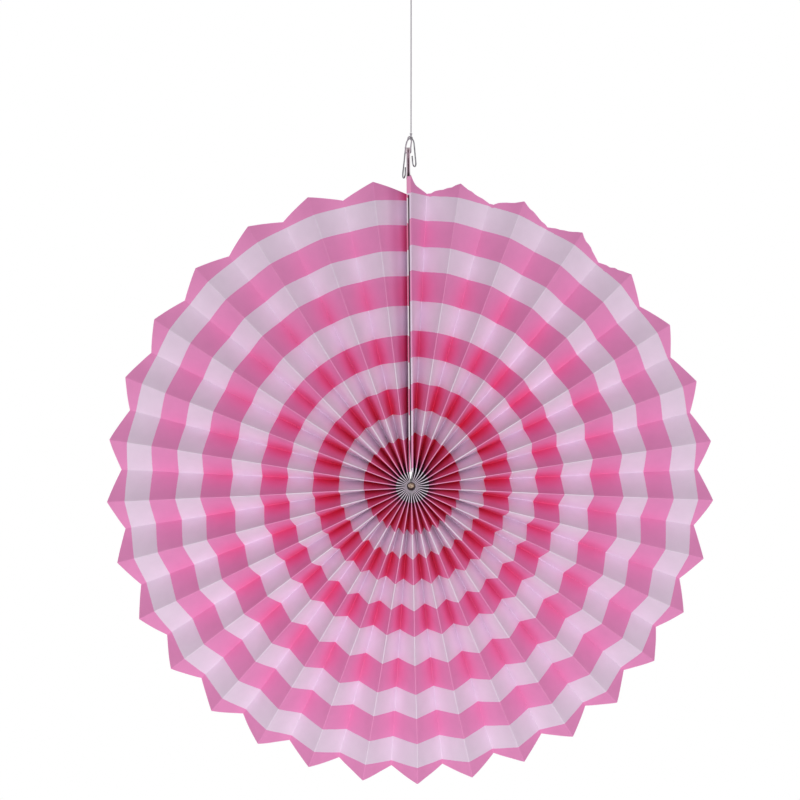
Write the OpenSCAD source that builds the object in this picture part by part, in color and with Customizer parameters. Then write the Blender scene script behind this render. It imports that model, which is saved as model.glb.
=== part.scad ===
// Hanging pleated paper fan: one strip of paper, folded into pleats and opened through a full
// turn between two end cards, tied by a thread ring to a bent paper clip on a taut cord.
// The front faces -Y. The origin is inside the top of the cord's hanging loop.

/* [Paper] */
// Diameter of the open fan, tip to tip
fan_d = 400; // [320:5:480]
// Number of front creases round the fan
pleat_count = 31; // [29:1:33]
// Thickness of the paper
paper_t = 0.2; // [0.12:0.02:0.24]
// Depth of the zigzag cut of the rim, from tip to notch
rim_cut = 8; // [4:1:12]
// Front-to-back depth that the widest pleat keeps at the rim
rim_fold = 5.4; // [4:0.2:9]
// Radius of the opening at the centre, where the folds start
hub_hole_r = 2.9; // [2.9:0.1:4]
// Share of an even spacing, in degrees, that the weight takes from the lower pleats
pleat_sag = 4.9; // [0:0.1:6]
// Degrees by which the lowest pleats hang off to the left
pleat_drift = 1.2; // [0:0.1:2]
// Angle of the half-open panel beside the right card
end_panel_angle = 3.2; // [2.6:0.1:4]

/* [End cards] */
// Thickness of each end card
card_t = 0.7; // [0.5:0.1:1]
// Gap between the two end cards
card_gap = 1; // [0.8:0.1:1.6]
// Distance from the centre of the fan to the inner end of each card
card_start = 9.5; // [9:0.5:14]
// Height of the card's shoulders above the tips of the paper
card_rise = 2; // [1:0.5:5]
// Radius of the card's shoulders
shoulder_r = 4; // [2:0.5:5]
// Lean of the seam to the left of upright
seam_lean = 0.5; // [0:0.1:1]
// Height of the paper flap that crosses the gap in front
flap_h = 12; // [8:1:16]

/* [Hanging tabs] */
// Width of the tab, front to back
tab_w = 7; // [6:0.5:7]
// Height of the punched hole above the card's shoulders
hole_rise = 14; // [11:1:18]
// Diameter of the punched hole
hole_d = 4; // [3:0.5:4]
// Radius of the hollow corner at the foot of the tab
tab_fillet = 3; // [1:0.5:5]
// Height of the tab above the middle of its hole
tab_above_hole = 5; // [4:0.5:6]

/* [Hub] */
// Gap round the glue plug in the middle of the folds
plug_fit = 0.1; // [0.05:0.05:0.3]
// How far the plug's round ends stand back from the creases
plug_recess = 0.4; // [0:0.1:2]

/* [Thread ring] */
// Diameter of the thread
thread_d = 0.9; // [0.6:0.1:1]
// Height of the ring, between the thread's middles
ring_h = 10.4; // [10:0.2:14]
// Clearance of the thread in the holes, and of the thread and the cord round the wire
thread_fit = 0.06; // [0.05:0.01:0.1]

/* [Paper clip] */
// Diameter of the clip's wire
wire_d = 0.9; // [0.7:0.1:1]
// Width of the bend at the top of the clip
apex_w = 9.6; // [9.4:0.2:11]
// Turn of that bend about the cord, from the front-to-back line
clip_turn = 27; // [15:1:30]
// Length of the clip, from the top bend to the bottom of the long loop
clip_h = 25.6; // [24:0.2:28]
// Width of the long loop's bend
long_loop_w = 7; // [5:0.5:8]
// Distance of the long loop's outer leg to the left of the clip's middle
long_loop_x = 5.6; // [5.4:0.1:7]
// Height of the bottom of the short loop above the bottom of the long one
short_loop_rise = 6.5; // [6:0.5:9]
// Width of the short loop's bend
short_loop_w = 5; // [4:0.5:6]
// Distance of the short loop's outer leg to the right of the clip's middle
short_loop_x = 3.3; // [3:0.1:5]
// Height of the two free ends of the wire above the bottom of their loops
free_end_h = 6.5; // [5:0.5:8]

/* [Cord] */
// Diameter of the cord
cord_d = 0.8; // [0.6:0.1:1]
// Length of the cord between its two knots
cord_span = 90; // [60:5:300]
// Diameter of each knot
knot_d = 2; // [1.8:0.1:2.4]
// Gap between the cord and the eye that turns under it
swivel_gap = 0.1; // [0.05:0.05:0.3]
// Height of the hanging loop, from the hook to the knot
loop_h = 22; // [15:1:30]
// Width of the hanging loop at its top
loop_w = 9; // [7:0.5:12]

/* [Hidden] */
tip_r = fan_d / 2;
notch_r = tip_r - rim_cut;
last = 2 * pleat_count + 1; // the last crease, at the back of the left card
even_pitch = (360 - end_panel_angle) / (last - 1);
widest_pitch = even_pitch + pleat_sag * 2 * PI / (last - 1);
panel_w = norm([(tip_r + notch_r) * sin(widest_pitch / 2), rim_fold]);
seam_air = 0.1; // air between a card's paper and the fold beside it
seam_half = card_gap / 2 + card_t + paper_t + seam_air;
crease_air = 0.02; // half of the air between two neighbouring pleats
steps = 10; // lengths of skin along a pleat, the first of them up to the end cards
card_share = (card_start - hub_hole_r) / (notch_r - hub_hole_r);
SHARES = [0, for (s = [0:steps - 1]) card_share + (1 - card_share) * pow(s / (steps - 1), 1.5)];

card_top = tip_r + card_rise;
hole_r = card_top + hole_rise;
tab_top = hole_r + tab_above_hole;
cover_air = 0.1; // air between the flap and the cards' front edges

ring_low = hole_r + (hole_d - thread_d) / 2 - thread_fit;
tab_x = -hole_r * sin(seam_lean);
side_air = 0.1; // air between the tabs and the thread beside them
strand_x = card_gap / 2 + card_t + thread_d / 2 + side_air;
ring_r = (thread_d + wire_d) / 2 + thread_fit; // thread's middle to wire's middle
apex_up = ring_low + ring_h - ring_r; // wire's middle at the top bend, above the hub
// The cord's eye is on the top bend, in front of the thread
eye_y = -cos(clip_turn) * ((thread_d + cord_d) / 2 + side_air) - ring_r * sin(clip_turn);
eye_slope = asin(-eye_y / cos(clip_turn) / (apex_w / 2)); // of the wire in the eye
eye_r = (cord_d + wire_d) / 2 / cos(eye_slope) + thread_fit;
apex_x = eye_y * tan(clip_turn);
eye_drop = apex_w / 2 * (1 - cos(eye_slope));
knot_rise = 2.5; // knot's middle above the wire that hangs in the eye
knot_up = apex_up - eye_drop + knot_rise;
knot_bite = 0.3; // how far the cord runs into the upper knot
beside = [0.56 * cord_d, 0, 0]; // from a knot's middle to each of two cords side by side in it
neck_d = 1.4 * cord_d; // the two cords that are twisted together above the eye
cord_low_up = knot_up + knot_d / 2 + swivel_gap;
hub_z = -(loop_h + knot_d / 2 - knot_bite + cord_span + cord_low_up);

// Points of the cord between its knots: share of its length, and sideways place
CORD_ROUTE = [for (share = [0:0.025:1]) [0, eye_y, share]];

function pleat_name(i) = str("paper_pleat_", i < 10 ? "0" : "", i);
function unit(v) = v / norm(v);

// ---- Where the creases are ----

// Direction of crease k at radius r, clockwise from straight up. Even creases come forward.
function open_angle(k) =
    k == 0 ? 0 :
    end_panel_angle + even_pitch * (k - 1)
    + pleat_sag * sin(360 * (k - 1) / (last - 1))
    - pleat_drift * (1 - cos(360 * (k - 1) / (last - 1)));
function seam_angle(r) = asin(seam_half / max(r, card_start));
function crease_angle(k, r) =
    -seam_lean + seam_angle(r) + open_angle(k) * (1 - 2 * seam_angle(r) / 360);

// Radius of crease k at the share u of the way from the hub to the rim
function crease_r(k, u) =
    hub_hole_r + u * ((k % 2 == 0 && k > 0 ? tip_r : k == 0 ? card_top : notch_r) - hub_hole_r);

// Front-to-back depth of panel k, between creases k and k + 1: its width stays the same
function panel_depth(k, u) =
    let (r = (crease_r(k, u) + crease_r(k + 1, u)) / 2,
         turn = crease_angle(k + 1, r) - crease_angle(k, r),
         across = 2 * r * sin(turn / 2))
    sqrt(max(panel_w * panel_w - across * across, rim_fold * rim_fold / 4));

function crease_y(k, u) =
    k == 0 ? -panel_w / 2 :
    k == last ? panel_w / 2 :
    (k % 2 == 0 ? -1 : 1) * (panel_depth(k - 1, u) + panel_depth(k, u)) / 4;

// Front-to-back half thickness of the paper of panel k, which stands at a slant
function slant_t(k, u) =
    let (d = abs(crease_y(k + 1, u) - crease_y(k, u)),
         r = (crease_r(k, u) + crease_r(k + 1, u)) / 2,
         across = 2 * r * sin((crease_angle(k + 1, r) - crease_angle(k, r)) / 2))
    min(paper_t / 2 * norm([1, d / across]), 0.45 * d);

// Point at the share f of the way across panel k from crease k, at depth y
function panel_point(k, f, u, y) =
    let (r = crease_r(k, u) + f * (crease_r(k + 1, u) - crease_r(k, u)),
         a = crease_angle(k, r) + f * (crease_angle(k + 1, r) - crease_angle(k, r)))
    [r * sin(a), y, hub_z + r * cos(a)];

// Share of panel k's width that the air beside a neighbouring pleat takes
function air_share(k, u) =
    let (r = (crease_r(k, u) + crease_r(k + 1, u)) / 2,
         across = 2 * r * sin((crease_angle(k + 1, r) - crease_angle(k, r)) / 2))
    crease_air / across;

// Section through the pleat whose front crease is k: four front points, then five back points
function pleat_section(k, u) =
    let (ya = crease_y(k - 1, u), yb = crease_y(k, u), yc = crease_y(k + 1, u),
         ta = slant_t(k - 1, u), tc = slant_t(k, u),
         fa = (ta - paper_t / 2) / (ya - yb), fc = (tc - paper_t / 2) / (yc - yb),
         ga = air_share(k - 1, u), gc = air_share(k, u))
    [
        panel_point(k - 1, ga, u, ya - ta),
        panel_point(k - 1, 1 - fa, u, yb - paper_t / 2),
        panel_point(k, fc, u, yb - paper_t / 2),
        panel_point(k, 1 - gc, u, yc - tc),
        panel_point(k - 1, ga, u, ya + paper_t / 2),
        panel_point(k - 1, max(fa, ga * 1.5), u, ya + paper_t / 2),
        panel_point(k, 0, u, yb + max(ta, tc)),
        panel_point(k, 1 - max(fc, gc * 1.5), u, yc + paper_t / 2),
        panel_point(k, 1 - gc, u, yc + paper_t / 2)
    ];
PLEAT_RIM = [0, 1, 2, 3, 8, 7, 6, 5, 4];
PLEAT_END = [[0, 4, 5], [0, 5, 6], [0, 6, 1], [1, 6, 2], [2, 6, 7], [2, 7, 3], [3, 7, 8]];

// Section through the free panel, from the right card's front edge to the first back crease
function free_section(u) =
    let (ya = crease_y(0, u), yb = crease_y(1, u), t = slant_t(0, u),
         f = (t - paper_t / 2) / (yb - ya), g = air_share(0, u))
    [
        panel_point(0, 0, u, ya - paper_t / 2),
        panel_point(0, f, u, ya - paper_t / 2),
        panel_point(0, 1 - g, u, yb - t),
        panel_point(0, 0, u, ya + t),
        panel_point(0, 1 - max(f, g * 1.5), u, yb + paper_t / 2),
        panel_point(0, 1 - g, u, yb + paper_t / 2)
    ];
FREE_RIM = [0, 1, 2, 5, 4, 3];
FREE_END = [[0, 3, 1], [1, 3, 4], [1, 4, 2], [2, 4, 5]];

// ---- Shared shapes ----

// Skin over a row of sections that all have the same points. Both faces of the paper are split
// along the same diagonals, so the paper stays equally thick where it twists.
module loft(sections, rim, end) {
    n = len(sections[0]);
    m = len(rim);
    top = (len(sections) - 1) * n;
    sides = [
        for (s = [0:len(sections) - 2], i = [0:m - 1])
            let (a = s * n + rim[i], b = s * n + rim[(i + 1) % m])
            each b > a ? [[a, b + n, b], [a, a + n, b + n]] : [[a, a + n, b], [b, a + n, b + n]]
    ];
    polyhedron(
        points = [for (section = sections) each section],
        faces = concat(sides, [for (f = end) [f[2], f[1], f[0]]], [for (f = end) f + [top, top, top]])
    );
}

// Round rod along a path; side is a direction that the path never runs along
module tube(path, d, side, closed = false, sides = 8) {
    count = len(path);
    ring = function (i)
        let (before = path[closed ? (i + count - 1) % count : max(i - 1, 0)],
             after = path[closed ? (i + 1) % count : min(i + 1, count - 1)],
             ahead = unit(after - before),
             across = unit(cross(side, ahead)),
             over = cross(ahead, across))
        [for (s = [0:sides - 1]) path[i] + d / 2 * (cos(360 * s / sides) * across
                                                    + sin(360 * s / sides) * over)];
    spans = closed ? count : count - 1;
    walls = [
        for (i = [0:spans - 1], s = [0:sides - 1])
            let (a = i * sides, b = (i + 1) % count * sides, t = (s + 1) % sides)
            each [[a + s, b + t, a + t], [a + s, b + s, b + t]]
    ];
    ends = closed ? [] : [
        [for (s = [0:sides - 1]) s],
        [for (s = [sides - 1:-1:0]) (count - 1) * sides + s]
    ];
    polyhedron(points = [for (i = [0:count - 1]) each ring(i)], faces = concat(walls, ends));
}

// Points of the round corner of radius r at b, between a and c
function corner(a, b, c, r, parts = 6) =
    let (u = unit(a - b), v = unit(c - b),
         half = acos(u * v) / 2,
         middle = b + unit(u + v) * r / sin(half),
         first = b + u * r / tan(half) - middle,
         final = b + v * r / tan(half) - middle,
         sweep = 180 - 2 * half)
    [for (i = [0:parts]) middle + (first * sin(sweep * (1 - i / parts))
                                   + final * sin(sweep * i / parts)) / sin(sweep)];

// ---- Paper ----

module pleat(i) {
    color("hotpink")
    loft([for (u = SHARES) pleat_section(2 * i, u)], PLEAT_RIM, PLEAT_END);
}

// Moves what is drawn beside the upright seam to its place on the leaning one
module on_seam() {
    translate([0, 0, hub_z]) rotate([0, -seam_lean, 0]) children();
}

module right_free_panel() {
    color("lightpink")
    loft([for (s = [1:steps]) free_section(SHARES[s])], FREE_RIM, FREE_END);
}

// Paper glued to the left card, up to the zigzag rim
module left_glued_panel() {
    color("lightpink")
    on_seam()
    translate([-card_gap / 2 - card_t, 0, 0]) rotate([90, 0, -90])
    linear_extrude(paper_t)
    polygon([
        [-panel_w / 2, card_start], [panel_w / 2, card_start],
        [panel_w / 2, tip_r], [-panel_w / 2, notch_r]
    ]);
}

// Paper glued to the right card, folded over its front edge, with the flap that crosses the gap
module right_glued_panel() {
    fold_x = card_gap / 2 - paper_t;
    front_y = -panel_w / 2 - cover_air - paper_t;
    color("hotpink")
    on_seam()
    union() {
        translate([fold_x, front_y, card_start])
        cube([paper_t, panel_w + cover_air + paper_t, notch_r - card_start]);
        translate([fold_x, front_y, card_start])
        cube([card_t + paper_t, paper_t, card_top - shoulder_r - card_start]);
        translate([-card_gap / 2 - card_t, front_y, notch_r - flap_h / 4])
        cube([card_gap + 2 * card_t, paper_t, flap_h]);
    }
}

// ---- End cards ----

module card_outline() {
    half = panel_w / 2;
    lap = 0.1; // overlap of the pieces of the outline
    translate([-half, card_start]) square([panel_w, card_top - shoulder_r - card_start]);
    translate([-half + shoulder_r, card_start])
    square([panel_w - 2 * shoulder_r, card_top - card_start]);
    for (side = [-1, 1]) {
        translate([side * (half - shoulder_r), card_top - shoulder_r]) circle(shoulder_r);
        translate([side * tab_w / 2, card_top]) mirror([side < 0 ? 1 : 0, 0])
        difference() {
            translate([-lap, -lap]) square(tab_fillet + lap);
            translate([tab_fillet, tab_fillet]) circle(tab_fillet);
        }
    }
    translate([-tab_w / 2, card_top - lap]) square([tab_w, tab_top - tab_w / 2 - card_top + lap]);
    translate([0, tab_top - tab_w / 2]) circle(tab_w / 2);
}

// A card with its inner face at x, standing on the seam
module end_card(x) {
    on_seam()
    translate([x, 0, 0])
    difference() {
        rotate([90, 0, 90]) linear_extrude(card_t) card_outline();
        translate([-card_t, 0, hole_r]) rotate([0, 90, 0]) cylinder(d = hole_d, h = 3 * card_t);
    }
}

module left_end_card() {
    color("tan") end_card(-card_gap / 2 - card_t);
}

module right_end_card() {
    color("tan") end_card(card_gap / 2);
}

// ---- Hub ----

module hub_plug() {
    plug_r = hub_hole_r - plug_fit;
    straight = panel_w - 2 * (plug_recess + plug_r);
    color("burlywood")
    translate([0, 0, hub_z]) rotate([90, 0, 0])
    union() {
        cylinder(r = plug_r, h = straight, center = true, $fn = 48);
        for (end = [-1, 1]) translate([0, 0, end * straight / 2]) sphere(plug_r, $fn = 48);
    }
}

// ---- Thread ring and paper clip ----

module thread_ring() {
    low = [tab_x, 0, hub_z + ring_low];
    wire = [apex_x, 0, hub_z + apex_up];
    up = unit(wire - low); // the ring leans from the tabs to the clip
    side = [up[2], 0, -up[0]];
    top_half = ring_r / cos(clip_turn);
    knee = [0, 0, tab_top - ring_low]; // the strands lean above the tabs
    corners = [
        low - [strand_x, 0, 0], low + [strand_x, 0, 0], low + [strand_x, 0, 0] + knee,
        wire + ring_r * up + top_half * side, wire + ring_r * up - top_half * side,
        low - [strand_x, 0, 0] + knee
    ];
    tight = 0.58 * thread_d;
    rounds = [tight, tight, 2 * thread_d, 0.8 * ring_r, 0.8 * ring_r, 2 * thread_d];
    color("gainsboro")
    tube([
        for (i = [0:5]) each corner(corners[(i + 5) % 6], corners[i], corners[(i + 1) % 6], rounds[i])
    ], thread_d, [0, 1, 0], closed = true, sides = 10);
}

module wire_clip() {
    bend = apex_w / 2;
    across = bend * [-sin(clip_turn), cos(clip_turn), 0];
    bottom = hub_z + apex_up - clip_h;
    long_gap_x = long_loop_x + tab_x - strand_x - side_air;
    long_y = sqrt(long_loop_w * long_loop_w - long_gap_x * long_gap_x);
    short_bottom = bottom + short_loop_rise;
    short_turn = 27; // degrees from the front-to-back line to the short loop
    short_gap = short_loop_w * [-sin(short_turn), -cos(short_turn), 0];
    end_lean = 0.5; // sideways lean of the short loop's free end
    leg_y = across[1];
    apex = [apex_x, 0, hub_z + apex_up];
    short_leg = [short_loop_x, -leg_y, short_bottom];
    // from the long loop's free end, round its bend, over the top and to the short loop's free end
    corners = [
        [long_gap_x - long_loop_x, leg_y - long_y, bottom + free_end_h],
        [long_gap_x - long_loop_x, leg_y - long_y, bottom],
        [-long_loop_x, leg_y, bottom],
        apex + across,
        apex - across,
        short_leg,
        short_leg + short_gap,
        short_leg + short_gap + [-end_lean, 0, free_end_h]
    ];
    turns = [0, long_loop_w / 2, long_loop_w / 2, bend, bend, short_loop_w / 2, short_loop_w / 2];
    apart = 0.995; // keeps the two corners of a bend from meeting
    color("dimgray")
    tube(concat(
        [corners[0]],
        [for (i = [1:6]) each corner(corners[i - 1], corners[i], corners[i + 1], apart * turns[i], 9)],
        [corners[7]]
    ), wire_d, [1, 0, 0], sides = 12);
}

// ---- Cord ----

module cord_eye() {
    wire = [0, eye_y, hub_z + apex_up - eye_drop];
    color("lightgray")
    translate(wire)
    union() {
        rotate([90, 0, clip_turn])
        rotate_extrude($fn = 32) translate([eye_r, 0]) circle(d = cord_d, $fn = 16);
        translate([0, 0, eye_r]) cylinder(d = neck_d, h = knot_rise - eye_r, $fn = 24);
        translate([0, 0, knot_rise]) sphere(d = knot_d, $fn = 32);
    }
}

module hanging_cord() {
    low = hub_z + cord_low_up;
    color("lightgray")
    tube([for (p = CORD_ROUTE) [p[0], p[1], low + p[2] * cord_span]], cord_d, [0, 1, 0]);
}

module loop_knot() {
    color("lightgray") translate([0, eye_y, -loop_h]) sphere(d = knot_d, $fn = 32);
}

module hanging_loop() {
    foot = [0, eye_y, -loop_h];
    top_bend = loop_w / 3;
    top = [loop_w / 2 + cord_d, 0, cord_d / 2]; // where a straight leg and top would meet
    left = [-top[0], 0, top[2]];
    color("lightgray")
    tube(concat([foot + beside], corner(foot, top, left, top_bend, 10),
                corner(top, left, foot, top_bend, 10), [foot - beside]), cord_d, [0, 1, 0]);
}

hanging_loop();
loop_knot();
hanging_cord();
cord_eye();
wire_clip();
thread_ring();
left_end_card();
right_end_card();
left_glued_panel();
right_glued_panel();
right_free_panel();
hub_plug();
for (i = [1:pleat_count]) pleat(i);
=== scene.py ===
import math
import random

import bmesh
import bpy
from mathutils import Euler, Matrix, Vector, noise


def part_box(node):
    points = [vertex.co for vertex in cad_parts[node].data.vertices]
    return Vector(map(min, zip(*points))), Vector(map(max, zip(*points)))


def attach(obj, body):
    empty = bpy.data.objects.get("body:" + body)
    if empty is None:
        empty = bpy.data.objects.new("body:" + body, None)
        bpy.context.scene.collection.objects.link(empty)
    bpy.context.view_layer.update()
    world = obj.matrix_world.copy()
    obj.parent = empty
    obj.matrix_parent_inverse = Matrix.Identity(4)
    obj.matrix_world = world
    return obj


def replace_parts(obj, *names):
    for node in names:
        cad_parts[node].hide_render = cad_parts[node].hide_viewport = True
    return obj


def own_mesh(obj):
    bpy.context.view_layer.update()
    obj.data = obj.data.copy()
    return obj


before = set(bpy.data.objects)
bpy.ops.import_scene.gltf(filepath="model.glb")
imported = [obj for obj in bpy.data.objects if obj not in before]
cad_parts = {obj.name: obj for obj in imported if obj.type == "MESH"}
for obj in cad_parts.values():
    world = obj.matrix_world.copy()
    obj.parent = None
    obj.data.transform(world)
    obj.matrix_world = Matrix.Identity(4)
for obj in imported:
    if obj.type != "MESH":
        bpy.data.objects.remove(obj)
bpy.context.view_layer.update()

# ---- Camera ----
# The fan is seen almost straight from the front, from a little above the hub and a hair to its
# left, through a long lens that hardly foreshortens it.
mm = 0.001
plug_low, plug_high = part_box("hub_plug")
hub = (plug_low + plug_high) / 2
azimuth, elevation = math.radians(-0.9), math.radians(3.2)
hub_from_lens = Vector((7.17, -55.9, -814.8)) * mm
looking = Euler((math.pi / 2 - elevation, 0, azimuth))
camera = bpy.data.objects.new("camera", bpy.data.cameras.new("camera"))
camera.data.lens = 55.35
camera.data.clip_start = 0.01
camera.rotation_euler = looking
camera.location = hub - looking.to_matrix() @ hub_from_lens
bpy.context.scene.collection.objects.link(camera)
bpy.context.scene.camera = camera

# ---- Hanging cord ----
# A thin cord of two plies twisted together. The weight of the fan holds it taut between the knot of
# its hanging loop and the knot of its eye.


class Value:
    """A socket of a material that can be added, multiplied and compared like a number."""

    def __init__(self, tree, socket):
        self.tree, self.socket = tree, socket

    def maths(self, operation, *others):
        slots = dict(enumerate((self, *others)))
        return node(self.tree, "ShaderNodeMath", slots, operation=operation)

    def reflected(self, operation, other):
        return node(self.tree, "ShaderNodeMath", {0: other, 1: self}, operation=operation)

    def __add__(self, other):
        return self.maths("ADD", other)

    def __radd__(self, other):
        return self.reflected("ADD", other)

    def __sub__(self, other):
        return self.maths("SUBTRACT", other)

    def __rsub__(self, other):
        return self.reflected("SUBTRACT", other)

    def __mul__(self, other):
        return self.maths("MULTIPLY", other)

    def __rmul__(self, other):
        return self.reflected("MULTIPLY", other)

    def __truediv__(self, other):
        return self.maths("DIVIDE", other)

    def __abs__(self):
        return self.maths("ABSOLUTE")

    def __gt__(self, other):
        return self.maths("GREATER_THAN", other)

    def __lt__(self, other):
        return self.maths("LESS_THAN", other)

    def step(self, low, high):
        """From 0 at low to 1 at high, with soft ends."""
        slots = {0: self, 1: low, 2: high}
        return node(self.tree, "ShaderNodeMapRange", slots, interpolation_type="SMOOTHSTEP")

    def cloud(self, size, detail=3):
        """Even noise round 0.5 at this place, with spots of about this size in metres."""
        slots = {"Vector": self, "Scale": 1 / size, "Detail": detail}
        return node(self.tree, "ShaderNodeTexNoise", slots)

    def mixed(self, first, second):
        """A colour between two others, by this share."""
        return node(self.tree, "ShaderNodeMix", {0: self, 6: first, 7: second}, 2, data_type="RGBA")

    def scaled(self, share):
        """This colour, made lighter or darker."""
        slots = {0: self, "Scale": share}
        return node(self.tree, "ShaderNodeVectorMath", slots, operation="SCALE")

    def part(self, axis):
        """One of the three numbers of a place."""
        return node(self.tree, "ShaderNodeSeparateXYZ", {0: self}, axis)


def node(tree, kind, slots, out=0, stops=(), **settings):
    """One output of a new node: its settings come first, then the values or links of its slots."""
    new = tree.nodes.new(kind)
    for name, setting in settings.items():
        setattr(new, name, setting)
    if stops:
        ramp = new.color_ramp
        ramp.interpolation = "CONSTANT"
        for spot, shade in stops:
            stop = ramp.elements.new(spot) if spot else ramp.elements[0]
            stop.color = (shade, shade, shade, 1)
        ramp.elements.remove(ramp.elements[-1])
    for slot, value in slots.items():
        join(tree, value, new.inputs[slot])
    return Value(tree, new.outputs[out])


def join(tree, value, slot):
    if isinstance(value, Value):
        tree.links.new(value.socket, slot)
    elif slot.type == "RGBA":
        slot.default_value = (*value, 1)
    else:
        slot.default_value = value


def finish_of(name, **settings):
    """A new material: its shader, the place on the object and the place on the piece's own map."""
    material = bpy.data.materials.new(name)
    material.use_nodes = True
    tree = material.node_tree
    shader = tree.nodes["Principled BSDF"]
    for slot, setting in settings.items():
        join(tree, setting, shader.inputs[slot])
    place = node(tree, "ShaderNodeTexCoord", {}, "Object")
    along = node(tree, "ShaderNodeTexCoord", {}, "UV")
    return material, shader, place, along


def rough_up(shader, height, depth):
    """Gives the surface a relief of this height, in metres."""
    tree = shader.id_data
    slots = {"Strength": 1, "Distance": depth, "Height": height}
    join(tree, node(tree, "ShaderNodeBump", slots), shader.inputs["Normal"])


def cord_finish(name, colour, shade, thick):
    """Twisted thread, with its colour painted lighter and darker round each ply as highlight and
    shade, and fine fibres along them.
    """
    material, shader, place, along = finish_of(name, Roughness=0.6)
    fibre = place.cloud(0.12 * thick, 4)
    # Painted highlight and shade: the colour goes from the shade colour to the thread's own colour
    # round each ply
    groove = abs((along.part("Y") * math.tau).maths("SINE")).step(0, 0.7)
    blend = (groove * (0.6 + 0.6 * fibre)).mixed(shade, colour)
    join(shader.id_data, blend, shader.inputs["Base Color"])
    rough_up(shader, fibre + 0.5 * groove, 0.08 * thick)
    return material


def rod(path, width, sides=16, plies=0, lay=0.0, closed=False):
    """A rod along a path. With plies it has that many strands, which turn once in every lay."""
    path = [Vector(point) for point in path]
    count = len(path)
    bm = bmesh.new()
    uv = bm.loops.layers.uv.new("UVMap")
    around, gone = [bm.verts.layers.float.new(name) for name in ("around", "gone")]
    ring = bmesh.ops.create_circle(bm, segments=sides, radius=width / 2)["verts"]
    for vert in ring:
        vert[around] = math.atan2(vert.co.y, vert.co.x) / math.tau
        if plies:
            vert.co *= 0.8 + 0.2 * abs(math.cos(math.pi * vert[around] * plies))
    edges = bm.edges[:]
    turn, place = Matrix.Identity(4), Matrix.Identity(4)
    ahead, travelled = Vector((0, 0, 1)), 0.0
    for i, point in enumerate(path):
        if closed:
            run = path[(i + 1) % count] - path[i - 1]
        else:
            run = path[min(i + 1, count - 1)] - path[max(i - 1, 0)]
        turn = ahead.rotation_difference(run).to_matrix().to_4x4() @ turn
        ahead = run
        if i:
            travelled += (point - path[i - 1]).length
            new = bmesh.ops.extrude_edge_only(bm, edges=edges)["geom"]
            ring = [part for part in new if isinstance(part, bmesh.types.BMVert)]
            edges = [part for part in new if isinstance(part, bmesh.types.BMEdge)]
        twist = Matrix.Rotation(math.tau * travelled / lay if lay else 0, 4, "Z")
        moved = Matrix.Translation(point) @ turn @ twist
        bmesh.ops.transform(bm, matrix=moved @ place.inverted(), verts=ring)
        place = moved
        for vert in ring:
            vert[gone] = travelled
    ends = [edge for edge in bm.edges if edge.is_boundary]
    if closed:
        bmesh.ops.bridge_loops(bm, edges=ends)
    else:
        bmesh.ops.holes_fill(bm, edges=ends, sides=0)
    bmesh.ops.recalc_face_normals(bm, faces=bm.faces)
    for face in bm.faces:
        face.smooth = len(face.verts) == 4
        turns = [loop.vert[around] for loop in face.loops]
        wraps = max(turns) - min(turns) > 0.5
        for loop in face.loops:
            share = loop.vert[around]
            loop[uv].uv = (loop.vert[gone], share + 1 if wraps and share < 0 else share)
    return bm


def rounded(corners, radii, closed=False, parts=9):
    """A path that rounds these corners, each by its own radius."""
    corners = [Vector(c) for c in corners]
    count = len(corners)
    path = []
    for i, point in enumerate(corners):
        if not radii[i]:
            path.append(point)
            continue
        first = (corners[i - 1] - point).normalized()
        second = (corners[(i + 1) % count] - point).normalized()
        half = first.angle(second) / 2
        middle = point + (first + second).normalized() * radii[i] / math.sin(half)
        start = point + first * radii[i] / math.tan(half) - middle
        end = point + second * radii[i] / math.tan(half) - middle
        path += [middle + radii[i] * start.slerp(end, j / parts) for j in range(parts + 1)]
    return path


def piece(name, bm, material, body):
    """Puts a finished mesh in the scene, with its material, on the body that it moves with."""
    mesh = bpy.data.meshes.new(name)
    bm.to_mesh(mesh)
    bm.free()
    obj = bpy.data.objects.new(name, mesh)
    for layer in material if isinstance(material, list) else [material]:
        mesh.materials.append(layer)
    bpy.context.scene.collection.objects.link(obj)
    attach(obj, body)
    return obj


cord_d = 0.8 * mm
cord_lay = 2.4 * mm
cord_steps = 450
cord_white = cord_finish("twisted white cord", (0.60, 0.55, 0.61), (0.34, 0.30, 0.35), cord_d)
low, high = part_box("hanging_cord")
cord_low = Vector(((low.x + high.x) / 2, (low.y + high.y) / 2, low.z))
cord_high = Vector((cord_low.x, cord_low.y, high.z))
cord_route = [cord_low.lerp(cord_high, i / cord_steps) for i in range(cord_steps + 1)]
cord_twist = rod(cord_route, cord_d, 12, 2, cord_lay)
hanging_cord = piece("hanging_cord_twist", cord_twist, cord_white, "cord")
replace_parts(hanging_cord, "hanging_cord")

# ---- Hanging loop ----
# The end of the same cord, laid into a loop that goes over a ceiling hook and tied in a small
# overhand knot.
foot_low, foot_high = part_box("loop_knot")
foot = (foot_low + foot_high) / 2
loop_w = 9 * mm
beside = Vector((0.56 * cord_d, 0, 0))
loop_top = Vector((loop_w / 2 + cord_d, 0, cord_d / 2))
loop_left = Vector((-loop_top.x, 0, loop_top.z))
loop_route = rounded([foot + beside, loop_top, loop_left, foot - beside],
                     [0, loop_w / 3, loop_w / 3, 0], parts=16)
loop_step = 0.25 * mm
fine_route = [loop_route[0]]
for point in loop_route[1:]:
    start = fine_route[-1]
    steps = max(1, round((point - start).length / loop_step))
    fine_route += [start.lerp(point, j / steps) for j in range(1, steps + 1)]
loop_twist = rod(fine_route, cord_d, 12, 2, cord_lay)
hanging_loop = piece("hanging_loop_twist", loop_twist, cord_white, "cord")
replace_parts(hanging_loop, "hanging_loop")


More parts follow.
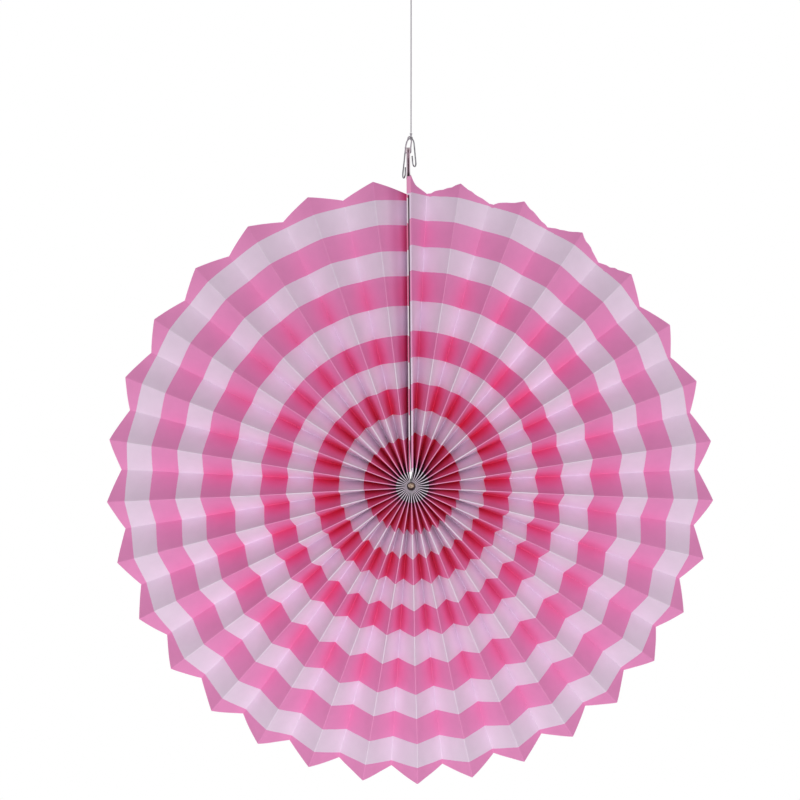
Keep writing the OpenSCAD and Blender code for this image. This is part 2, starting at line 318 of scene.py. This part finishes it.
def knot(middle, size, width):
    """A tight overhand knot of this size round a point."""
    path = []
    for i in range(48):
        t = math.tau * i / 48
        bend = Vector((math.sin(t) + 2 * math.sin(2 * t), -1.5 * math.sin(3 * t),
                       math.cos(t) - 2 * math.cos(2 * t)))
        path.append(middle + size / 7.2 * bend)
    return rod(path, width, 12, 2, cord_lay, closed=True)


loop_knot = piece("loop_knot_turns", knot(foot, 2.0 * mm, 0.75 * cord_d), cord_white, "cord")
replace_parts(loop_knot, "loop_knot")

# ---- Cord eye ----
# The lower end of the cord goes round the top bend of the clip and is tied to itself in a second
# knot, so the fan can turn under it.
clip_turn = math.radians(27)
eye_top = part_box("cord_eye")[1].z
eye_knot = Vector((0, cord_low.y, eye_top - 1.0 * mm))
wire = eye_knot - Vector((0, 0, 2.5 * mm))
eye_r = 0.951 * mm
eye_opens, eye_steps = math.radians(48), 24
outward = Vector((math.cos(clip_turn), math.sin(clip_turn), 0))
up = Vector((0, 0, 1))
leg, neck = 0.3 * mm * outward, eye_knot - 0.7 * mm * up
eye_route = [eye_knot + leg, neck + leg]
for i in range(eye_steps + 1):
    angle = eye_opens - (math.pi + 2 * eye_opens) * i / eye_steps
    eye_route.append(wire + eye_r * (math.cos(angle) * outward + math.sin(angle) * up))
eye_route += [neck - leg, eye_knot - leg]
eye_twist = rod(eye_route, 0.95 * cord_d, 16, 2, cord_lay)
cord_eye = piece("cord_eye_twist", eye_twist, cord_white, "eye")
eye_knot_turns = knot(eye_knot + 0.15 * mm * up, 1.6 * mm, 0.7 * cord_d)
piece("eye_knot_turns", eye_knot_turns, cord_white, "eye")
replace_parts(cord_eye, "cord_eye")

# ---- Paper clip ----
# A small clip of zinc-plated steel wire, bent open into a hook: its long loop goes behind the tabs
# and its short loop before them.
wire_d = 0.9 * mm
metal, shader, place, along = finish_of("zinc-plated wire", Metallic=1.0)
drawn = place.cloud(0.3 * mm, 2)
spots = place.cloud(2.5 * mm, 4)
zinc = spots.step(0.35, 0.65).mixed((0.16, 0.15, 0.17), (0.27, 0.26, 0.28))
join(shader.id_data, zinc, shader.inputs["Base Color"])
join(shader.id_data, 0.28 + 0.16 * spots, shader.inputs["Roughness"])
rough_up(shader, drawn, 0.01 * mm)
apex_w, clip_h = 9.6 * mm, 25.6 * mm
long_w, long_x, short_rise, short_w, short_x, end_h = [x * mm for x in (7, 5.6, 6.5, 5, 3.3, 6.5)]
tab_x, strand_x, side_air = -1.885 * mm, 1.75 * mm, 0.1 * mm
end_lean = 0.5 * mm
clip_top = 226.93 * mm
apex = Vector((wire.y * math.tan(clip_turn), 0, hub.z + clip_top))
backward = Vector((-math.sin(clip_turn), math.cos(clip_turn), 0))
across = apex_w / 2 * backward
bottom = apex.z - clip_h
gap_x = long_x + tab_x - strand_x - side_air
gap_y = math.sqrt(long_w ** 2 - gap_x ** 2)
long_leg = Vector((gap_x - long_x, across.y - gap_y, bottom))
short_leg = Vector((short_x, -across.y, bottom + short_rise))
short_turn = short_leg - short_w * Vector((math.sin(clip_turn), math.cos(clip_turn), 0))
clip_route = rounded([
    long_leg + Vector((0, 0, end_h)), long_leg, (-long_x, across.y, bottom), apex + across,
    apex - across, short_leg, short_turn, short_turn + Vector((-end_lean, 0, end_h)),
], [0, long_w / 2, long_w / 2, apex_w / 2, apex_w / 2, short_w / 2, short_w / 2, 0], parts=16)
paper_clip = piece("paper_clip", rod(clip_route, wire_d, 18), metal, "clip")
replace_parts(paper_clip, "wire_clip")

# ---- Thread ring ----
# A closed ring of white cotton thread that ties the holes of the two tabs together and hangs in the
# top bend of the clip.
thread_d, thread_lay = 0.9 * mm, 3 * mm
ring_foot, knee_h = 217.49 * mm, 221 * mm
ring_low = Vector((tab_x, 0, hub.z + ring_foot))
ring_r = 0.96 * mm
ring_up = (apex - ring_low).normalized()
ring_side = Vector((ring_up.z, 0, -ring_up.x))
top_half = ring_r / math.cos(clip_turn)
knee = Vector((0, 0, knee_h - ring_foot))
strand = Vector((strand_x, 0, 0))
tight = 0.58 * thread_d
ring_top, beside_wire = apex + ring_r * ring_up, top_half * ring_side
ring_route = rounded([
    ring_low - strand, ring_low + strand, ring_low + strand + knee, ring_top + beside_wire,
    ring_top - beside_wire, ring_low - strand + knee,
], [tight, tight, 2 * thread_d, 0.8 * ring_r, 0.8 * ring_r, 2 * thread_d], closed=True, parts=8)
thread_white = cord_finish("white cotton thread", (0.66, 0.58, 0.66), (0.40, 0.34, 0.40), thread_d)
ring_twist = rod(ring_route, thread_d, 14, 2, thread_lay, closed=True)
thread_ring = piece("thread_ring_twist", ring_twist, thread_white, "clip")
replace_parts(thread_ring, "thread_ring")

# ---- Printed paper ----
# The fan is one strip of stiff paper, printed with rose stripes and pleated to and fro. A stripe
# crosses every fold at the same distance from the hub. The folds are rubbed pale and carry a painted
# highlight.
tip_r, notch_r, hole_r = 199.97 * mm, 192 * mm, 2.9 * mm
stripe_edges = [9.6, 30.6, 47.4, 64.6, 81.3, 98.9, 118.1, 138.0, 154.3, 171.5, 187.9]
# The two crimsons are painted shade, for light bounced between the folds
rose, painted_bounce_crimson, painted_shade_crimson = (0.93, 0.31, 0.62), (0.95, 0.05, 0.27), (0.97, 0.012, 0.10)
flat_rose = (0.95, 0.36, 0.62)
white, painted_lit_white = (0.93, 0.75, 0.92), (1.0, 0.82, 0.98)
rubbed_highlit_rose, rubbed_highlit_white = (1.0, 0.38, 0.66), (1.0, 0.88, 1.0)
crest_half = 0.2 * mm
sheet_w = 22.2 * mm
paper_relief = 0.03 * mm
ragged = 0.5 * mm


def stripes(out, fibre):
    """One where the print is white and nought where it is rose, at a distance from the hub."""
    stops = [(edge * mm / tip_r, 1 - i % 2) for i, edge in enumerate([0] + stripe_edges)]
    spot = (out + ragged * (fibre - 0.5)) / tip_r
    return node(out.tree, "ShaderNodeValToRGB", {0: spot}, stops=stops)


def printed(name, own_map, lower=0):
    """Printed paper. The stripes follow the piece's map, or else the height above the hub, where
    they are lowered by so much."""
    material, shader, place, along = finish_of(name, Roughness=0.7)
    out = along.part("X") if own_map else place.part("Z") - (hub.z - lower)
    fibre = place.cloud(0.5 * mm, 3)
    patch = place.cloud(9 * mm, 3)
    is_white = stripes(out, fibre)
    tone = 0.93 + 0.10 * patch + 0.04 * fibre
    if own_map:
        # Painted shade: the rose is painted crimson near the hub and deep in the folds, for light
        # bounced between the folds, and the folds at the hub are painted dark as their shadow
        side = abs(along.part("Y"))
        deep = side / sheet_w
        near = 1 - out.step(20 * mm, 175 * mm)
        # Painted shade on the back of the last panel, behind the card
        shade_behind_card = (deep - 1.01) * (deep > 1.01)
        painted_bounce = near * (0.35 + 0.65 * deep.step(0.2, 1)) + 0.9 * shade_behind_card
        rose_with_painted_bounce = painted_bounce.mixed(rose, near.step(0.7, 1).mixed(painted_bounce_crimson, painted_shade_crimson))
        # Painted light: the white is painted lighter near the hub
        colour = is_white.mixed(rose_with_painted_bounce, near.mixed(white, painted_lit_white))
        # Painted highlight on the folds, which are also rubbed pale; it is stronger near the hub
        fold = (1 - side.step(0.5 * crest_half, 1.1 * crest_half)) * (out < 188 * mm)
        rubbed_highlight = is_white.mixed(rubbed_highlit_rose, rubbed_highlit_white)
        colour = (fold * (0.35 + 0.6 * near)).mixed(colour, rubbed_highlight)
        # Painted shade: the folds at the hub are painted dark as their shadow
        at_hub = 1 - out.step(8 * mm, 17 * mm)
        painted_hub_shade = at_hub * (0.05 + 0.87 * deep.step(0.02, 0.12))
        tone = (tone - 0.3 * shade_behind_card) * (1 - painted_hub_shade)
    else:
        colour = is_white.mixed(flat_rose, white)
    join(shader.id_data, colour.scaled(tone), shader.inputs["Base Color"])
    rough_up(shader, fibre, paper_relief)
    return material


paper = printed("printed fan paper", True)
left_glued_paper = printed("printed paper on the left card", False, 0.5 * mm)
right_glued_paper = printed("printed paper on the right card", False, -2.0 * mm)
core, shader, place, along = finish_of("cut edge of paper", Roughness=0.8)
core_colour = place.cloud(0.4 * mm).mixed((0.62, 0.52, 0.60), (0.80, 0.72, 0.80))
join(shader.id_data, core_colour, shader.inputs["Base Color"])

# ---- End cards ----
# Two strips of card stiffen the ends of the paper and meet at the seam. Their faces are painted near
# black as shade in the slit between them. Their die-cut edges show the pale core, which has taken the
# print's stripes. The cards lie closer at the back, and the thread draws their tabs together.
panel_half, tab_half = 11.12 * mm, 3.5 * mm
lean_low, lean_high = 12 * mm, 26 * mm
tab_low, tab_high = 199 * mm, 203 * mm
bend_heights = [lean_low, 19 * mm, lean_high] + [tab_low + 2 * mm * i for i in range(10)]
panel_lean, tab_lean, tab_front = 0.47 * mm, 0.47 * mm, 0.04 * mm


def on_the_way(number, low, high):
    """How far a number is on its way from low to high, from 0 to 1."""
    return min(1, max(0, (number - low) / (high - low)))


def drawn_together(name, material, side):
    """A copy of a CAD node on one side of the seam that leans towards the other side at the back."""
    bm = bmesh.new()
    bm.from_mesh(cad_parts[name].data)
    bmesh.ops.remove_doubles(bm, verts=bm.verts, dist=0.002 * mm)
    for height in bend_heights:
        everything = bm.verts[:] + bm.edges[:] + bm.faces[:]
        bmesh.ops.bisect_plane(bm, geom=everything, plane_co=hub + height * up, plane_no=up)
    for vert in bm.verts:
        height = vert.co.z - hub.z
        panel = panel_lean * (vert.co.y + panel_half) / (2 * panel_half)
        panel *= on_the_way(height, lean_low, lean_high)
        tab = tab_front + tab_lean * (vert.co.y + tab_half) / (2 * tab_half)
        on_tab = on_the_way(height, tab_low, tab_high)
        vert.co.x -= side * (panel * (1 - on_tab) + tab * on_tab)
    for face in bm.faces:
        face.smooth = False
    body = {1: "right_end", -1: "fan"}[side]
    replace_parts(piece(name + "_sheet", bm, material, body), name)


card, shader, place, along = finish_of("die-cut card", Roughness=0.75)
out = place.part("Z") - hub.z
fibre = place.cloud(0.35 * mm, 4)
tab = out > 200.5 * mm
cut_edge = abs(place.part("Y")) > 10.9 * mm - 7.55 * mm * tab
# Painted shade: the card's faces are painted near black, as shade in the seam's slit
face_painted_dark = fibre.mixed((0.10, 0.025, 0.04), (0.15, 0.04, 0.06))
tab_face = fibre.mixed((0.62, 0.40, 0.48), (0.76, 0.52, 0.60))
striped_edge = stripes(out + 1 * mm, fibre).mixed((0.82, 0.16, 0.32), (0.96, 0.80, 0.88))
tab_edge = fibre.mixed((0.66, 0.48, 0.58), (0.80, 0.62, 0.72))
card_colour = cut_edge.mixed(tab.mixed(face_painted_dark, tab_face), tab.mixed(striped_edge, tab_edge))
join(shader.id_data, card_colour, shader.inputs["Base Color"])
rough_up(shader, fibre, paper_relief)
drawn_together("left_end_card", card, -1)
drawn_together("right_end_card", card, 1)

# ---- Glued panels ----
# The last panel of the paper at each end is glued flat to its card; the right one is folded round
# the card's front edge and has a flap that crosses the seam.
drawn_together("left_glued_panel", left_glued_paper, -1)
drawn_together("right_glued_panel", right_glued_paper, 1)

# ---- Free panel and pleats ----
# The paper between the cards: one free panel and then thirty-one pleats, each with its fold in
# front and two panels that run back to the folds behind it.
pleat_count = 31
last = 2 * pleat_count + 1
rim_fold, end_panel = 5.4 * mm, math.radians(3.2)
even_pitch = (math.tau - end_panel) / (last - 1)
sag, drift = math.radians(4.9), math.radians(1.2)
seam_lean, seam_half = math.radians(0.5), 1.5 * mm
first_half, last_half = 1.18 * mm, 0.95 * mm
card_start = 9.5 * mm
widest = even_pitch + sag * math.tau / (last - 1)
panel_w = math.hypot((tip_r + notch_r) * math.sin(widest / 2), rim_fold)
free_rim = notch_r + 5.6 * mm
flap_rise = 4.4 * mm
crest_share = 0.16
torn, nick = range(1, 8), 1.0 * mm
stripe_drift, drift_panels, stripe_sway = 3.1 * mm, 32, 0.55 * mm
paper_t = 0.2 * mm
random.seed(31)
bulge = [random.uniform(-0.5, 0.5) * mm for _ in range(last)]


def seam_angle(r, half=seam_half):
    return math.asin(half / max(r, card_start))


def fold_angle(k, r):
    """Clockwise from straight up, in the fold's own wandering line."""
    if k == 0:
        return -seam_lean + seam_angle(r, first_half)
    if k == last:
        return math.tau - seam_lean - seam_angle(r, last_half)
    t = math.tau * (k - 1) / (last - 1)
    opened = end_panel + even_pitch * (k - 1) + sag * math.sin(t) - drift * (1 - math.cos(t))
    wander = 0.5 * mm * noise.noise(Vector((7.3 * k, 28 * r, 0.5)))
    return -seam_lean + seam_angle(r) + opened * (1 - 2 * seam_angle(r) / math.tau) + wander / tip_r


def fold_r(k, u):
    rim = free_rim if k == 0 else notch_r if k % 2 else tip_r
    return hole_r + u * (rim - hole_r)


def panel_depth(k, u):
    r = (fold_r(k, u) + fold_r(k + 1, u)) / 2
    across = 2 * r * math.sin((fold_angle(k + 1, r) - fold_angle(k, r)) / 2)
    return math.sqrt(max(panel_w ** 2 - across ** 2, rim_fold ** 2 / 4))


def fold_y(k, u):
    if k in (0, last):
        return (-1 if k == 0 else 1) * panel_w / 2
    return (1 if k % 2 else -1) * (panel_depth(k - 1, u) + panel_depth(k, u)) / 4


def paper_point(k, f, u, rise):
    """The point at the share f of the way across panel k at the share u of the way to the rim. Rise
    is the share of the way from the depth of its first fold to that of its second."""
    r = fold_r(k, u) + f * (fold_r(k + 1, u) - fold_r(k, u))
    first, second = fold_angle(k, r), fold_angle(k + 1, r)
    climb = fold_y(k + 1, u) - fold_y(k, u)
    dent = noise.noise(Vector((22 * r, 1.4 * rise, 3.7 * k))) * 0.6 * mm
    off = 4 * rise * (1 - rise) * (bulge[k] * math.sin(math.pi * min(1, 1.4 * u)) + dent * u)
    a = first + f * (second - first) + off * abs(climb) / panel_w / max(r, 0.02)
    y = fold_y(k, u) + rise * climb + off * math.copysign(r * (second - first) / panel_w, -climb)
    return hub + Vector((r * math.sin(a), y, r * math.cos(a))), r


def sheet_of(panels, rows, columns):
    """The thin sheet of one or two panels, mapped in metres from the hub and from the front fold.
    Each fold is a narrow flat crest, as wide as folded paper is thick."""
    bm = bmesh.new()
    bmesh.ops.create_grid(bm, x_segments=rows, y_segments=columns * len(panels), size=0.5)
    uv = bm.loops.layers.uv.new("UVMap")
    places, on_column = {}, {}
    for vert in bm.verts:
        u = (vert.co.x + 0.5) ** 1.3
        column = round((vert.co.y + 0.5) * columns * len(panels))
        n = min(column // columns, len(panels) - 1)
        k, j = panels[n], column - n * columns
        r = fold_r(k, u)
        flat = min(crest_share, crest_half / (r * (fold_angle(k + 1, r) - fold_angle(k, r))))
        rise = min(1, max(0, (j - 1) / (columns - 2)))
        f = flat + rise * (1 - 2 * flat) if 0 < j < columns else j / columns
        vert.co, r = paper_point(k, f, u, rise)
        # The rim of the free panel rises to the flap beside it
        lift = u ** 12 * flap_rise * max(0, 1 - rise / 0.4) ** 2 if k == 0 else 0
        vert.co += up * lift
        if u > 0.999 and k in torn and 1 < j < columns - 1:
            vert.co -= (vert.co - hub).normalized() * random.uniform(0, 1) * nick
        run = rise * (panel_w - 2 * crest_half) + crest_half * (j > 0) + crest_half * (j == columns)
        side = run if k % 2 == 0 else run - panel_w
        # The back of the last panel is behind the card; its map runs further across there, so the
        # material paints shade on it
        side *= 1 + 0.9 * rise ** 2 if k == last - 1 else 1
        drifted = stripe_drift * max(0, 1 - (k + f) / drift_panels)
        swayed = stripe_sway * math.cos(math.tau * (k + f - 1) / (last - 1))
        places[vert.index] = (r + lift - (drifted - swayed), side)
        on_column[vert.index] = column
    for edge in bm.edges:
        first, second = [on_column[vert.index] for vert in edge.verts]
        creased = first == second and first % columns in (0, 1, columns - 1)
        edge.smooth = not (edge.is_boundary or creased)
    for face in bm.faces:
        face.smooth = True
        for loop in face.loops:
            loop[uv].uv = places[loop.vert.index]
    return bm


def in_paper(name, panels, body, replaced, columns=10):
    """A sheet of paper that closes with its joint and stands for a CAD node."""
    obj = piece(name, sheet_of(panels, 40, columns), [paper, core], body)
    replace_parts(obj, replaced)
    a = fold_angle(panels[-1], 100 * mm)
    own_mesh(obj)
    thick = obj.modifiers.new("thickness", "SOLIDIFY")
    thick.thickness, thick.offset, thick.material_offset_rim = paper_t, 0, 1


in_paper("free_panel_sheet", [0], "right_end", "right_free_panel", columns=24)
for i in range(1, pleat_count + 1):
    pleat = f"pleat_{i:02d}"
    in_paper(f"pleat_sheet_{i:02d}", [2 * i - 1, 2 * i], pleat, f"paper_{pleat}")

# ---- Glue plug ----
# A bead of hot glue that fills the hole at the hub and ties the inner ends of all the folds. Round
# its tan middle it is painted near black as shadow in the hole.
bm = bmesh.new()
profile = [(0, -10.2), (0.7, -10.1), (1.2, -9.9), (1.5, -9.6), (1.9, -9.3), (2.4, -9.2), (2.75, -8.8),
           (2.8, -8), (2.8, 8), (2.6, 9.2), (1.8, 9.9), (0.9, 10.3), (0, 10.4)]
verts = [bm.verts.new((r * mm, y * mm, 0)) for r, y in profile]
edges = [bm.edges.new(pair) for pair in zip(verts, verts[1:])]
bmesh.ops.subdivide_edges(bm, edges=edges, cuts=2)
bmesh.ops.spin(bm, geom=bm.verts[:] + bm.edges[:], axis=(0, 1, 0), cent=(0, 0, 0), steps=40,
               angle=math.tau, use_merge=True)
bmesh.ops.remove_doubles(bm, verts=bm.verts, dist=0.005 * mm)
for vert in bm.verts:
    if abs(vert.co.y) > 8.5 * mm:
        vert.co.y += noise.noise(vert.co * 900) * 0.25 * mm
bmesh.ops.translate(bm, verts=bm.verts, vec=hub)
bmesh.ops.recalc_face_normals(bm, faces=bm.faces)
for face in bm.faces:
    face.smooth = True
glue, shader, place, along = finish_of("hot-melt glue", Roughness=0.35)
aside = place.part("X") - hub.x + 0.1 * mm
above = 1.4 * (place.part("Z") - hub.z - 0.35 * mm)
from_middle = (aside * aside + above * above).maths("SQRT")
grain = place.cloud(1.1 * mm, 4)
# Painted shadow: round the tan middle the glue is painted near black, as the shadow of the hole
ring = (from_middle + 1.2 * mm * (grain - 0.5)).step(1.8 * mm, 2.2 * mm)
tan = grain.step(0.38, 0.62).mixed((0.34, 0.20, 0.13), (0.74, 0.58, 0.44))
join(shader.id_data, ring.mixed(tan, (0.05, 0.02, 0.022)), shader.inputs["Base Color"])
rough_up(shader, grain, 0.05 * mm)
plug = piece("glue_bead", bm, glue, "fan")
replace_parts(plug, "hub_plug")

# ---- Studio ----
# A pale floor below the fan, a white surround, and three soft lamps: one in front, a little below
# the hub, a weaker one on the right, and a small one low on the left.
floor_r, floor_z = 0.7, hub.z - 0.61
bm = bmesh.new()
bmesh.ops.create_circle(bm, cap_ends=True, segments=96, radius=floor_r)
bmesh.ops.translate(bm, verts=bm.verts, vec=(0, 0, floor_z))
floor_mesh = bpy.data.meshes.new("floor")
bm.to_mesh(floor_mesh)
bm.free()
floor = bpy.data.objects.new("floor", floor_mesh)
bpy.context.scene.collection.objects.link(floor)
pale, shader, place, along = finish_of("pale floor", Roughness=0.9)
pale_colour = place.cloud(0.2).mixed((0.94, 0.94, 0.95), (0.98, 0.98, 0.98))
join(shader.id_data, pale_colour, shader.inputs["Base Color"])
floor_mesh.materials.append(pale)

world = bpy.data.worlds.new("surround")
bpy.context.scene.world = world
world.use_nodes = True
tree = world.node_tree
seen = node(tree, "ShaderNodeLightPath", {}, "Is Camera Ray")
for kind in ("Is Glossy Ray", "Is Transmission Ray"):
    seen = seen.maths("MAXIMUM", node(tree, "ShaderNodeLightPath", {}, kind))
surround = tree.nodes["Background"]
join(tree, (1, 1, 1), surround.inputs["Color"])
join(tree, 0.25 + 0.75 * seen, surround.inputs["Strength"])

for name, spot, width, power in (("front lamp", (0, -1.2, hub.z - 0.2), 0.5, 4.3),
                                 ("right lamp", (0.8, -1.0, hub.z), 0.5, 2.1),
                                 ("low lamp", (-0.4, -0.6, -0.9), 0.4, 1.7)):
    lamp = bpy.data.lights.new(name, "AREA")
    lamp.size, lamp.energy = width, power
    holder = bpy.data.objects.new(name, lamp)
    holder.location = spot
    holder.visible_camera = False
    holder.rotation_euler = (hub - Vector(spot)).to_track_quat("-Z", "Y").to_euler()
    bpy.context.scene.collection.objects.link(holder)
bpy.context.scene.view_settings.view_transform = "Standard"
